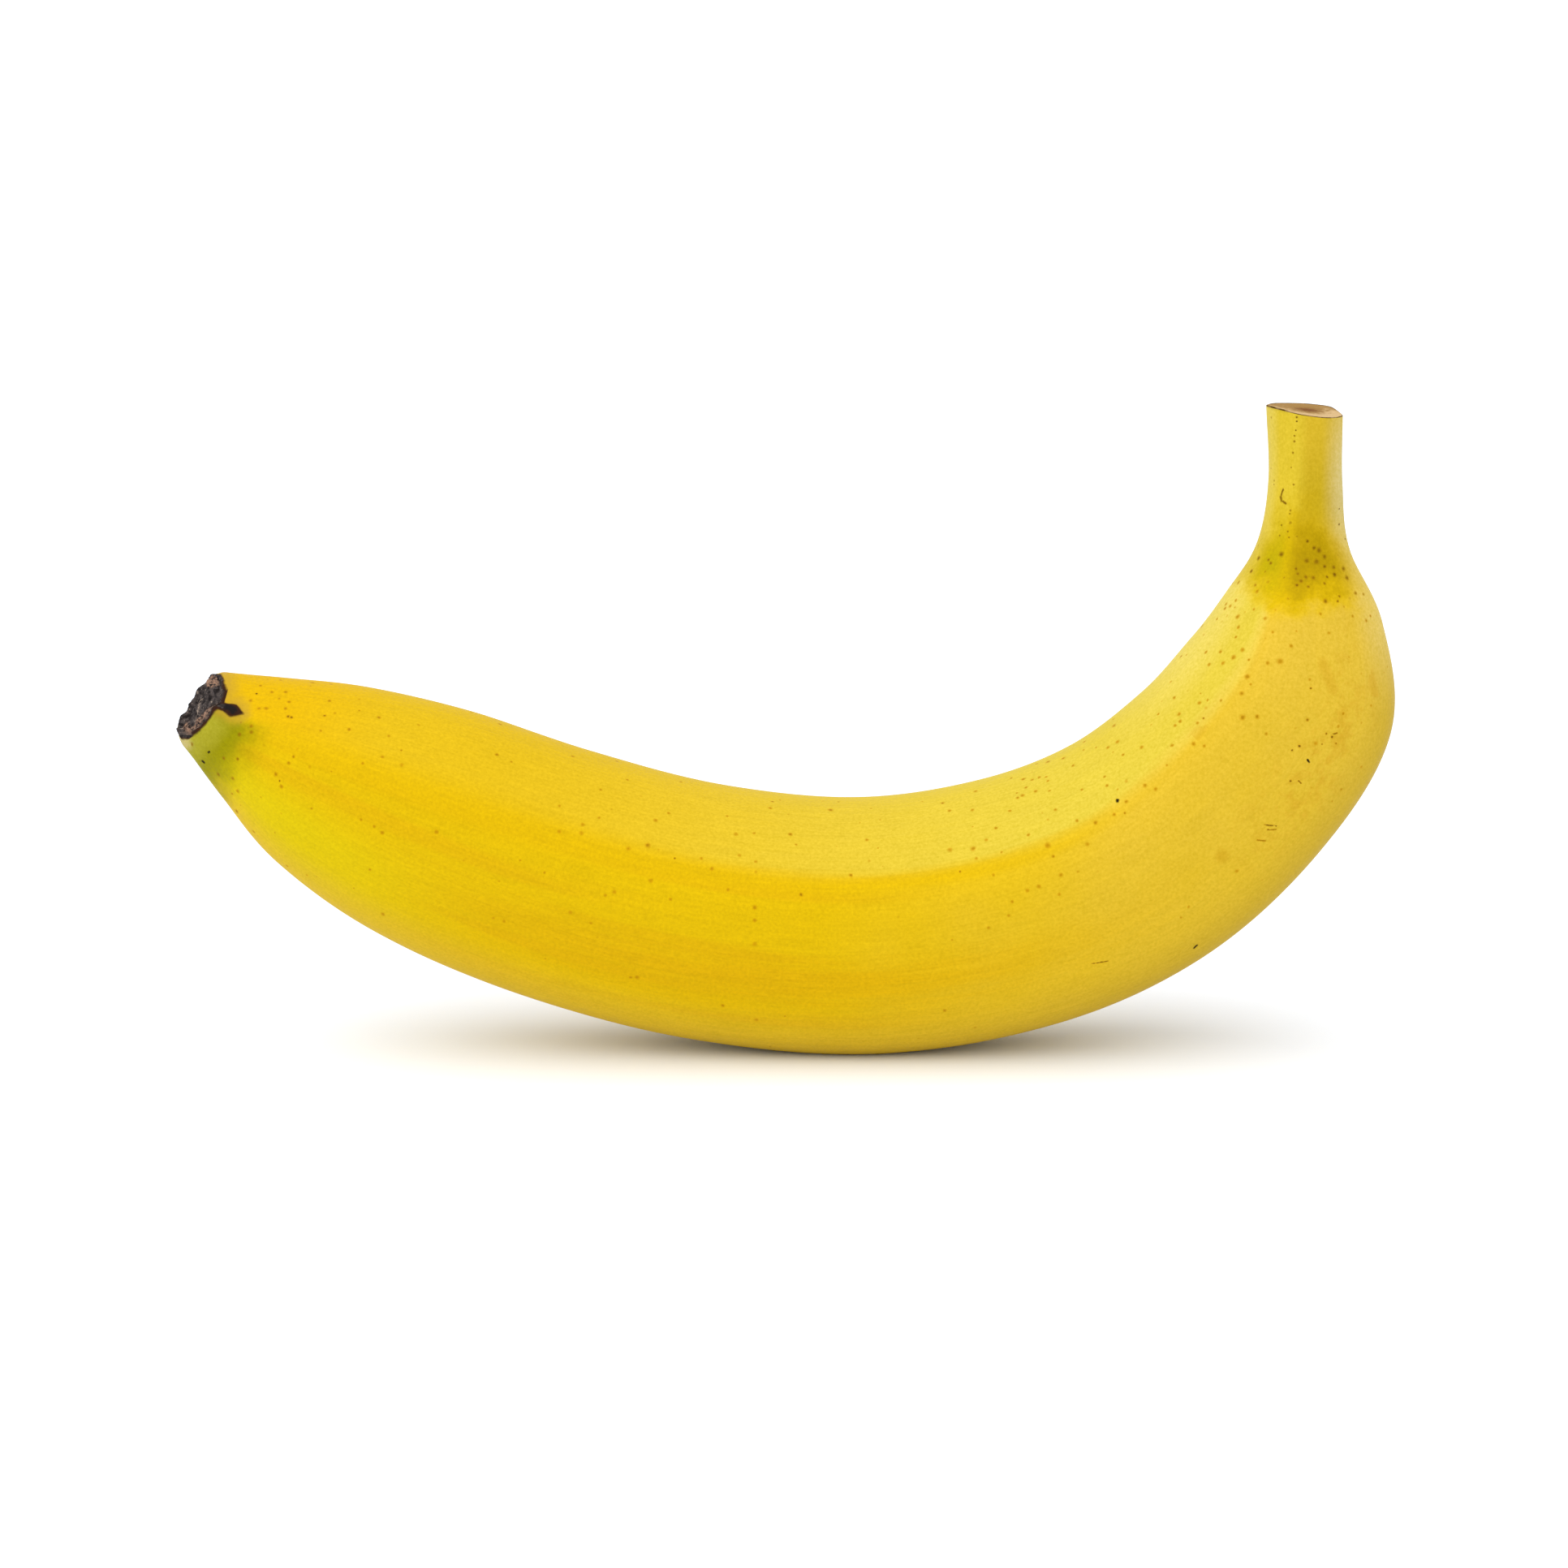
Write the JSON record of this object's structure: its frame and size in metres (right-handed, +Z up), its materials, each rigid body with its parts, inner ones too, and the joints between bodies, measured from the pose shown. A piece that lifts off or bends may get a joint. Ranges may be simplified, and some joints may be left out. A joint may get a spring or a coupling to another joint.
{
  "type": "banana",
  "caption": "Ripe yellow banana with soft ridges, a cut stem and a dried dark blossom end, standing on the flat of its curved back.",
  "frame": {"origin": "middle of the small flat on the fruit's back that it rests on", "axes": "+X from the blossom end to the stem, +Y across the fruit, +Z up, with the stem pointing up"},
  "size_m": [0.1784, 0.0362, 0.096],
  "materials": {
    "peel": "smooth waxy peel, satin, yellow with green at the neck and blossom end and small brown specks"
  },
  "bodies": {
    "root": {"banana": "peel"}
  },
  "joints": []
}
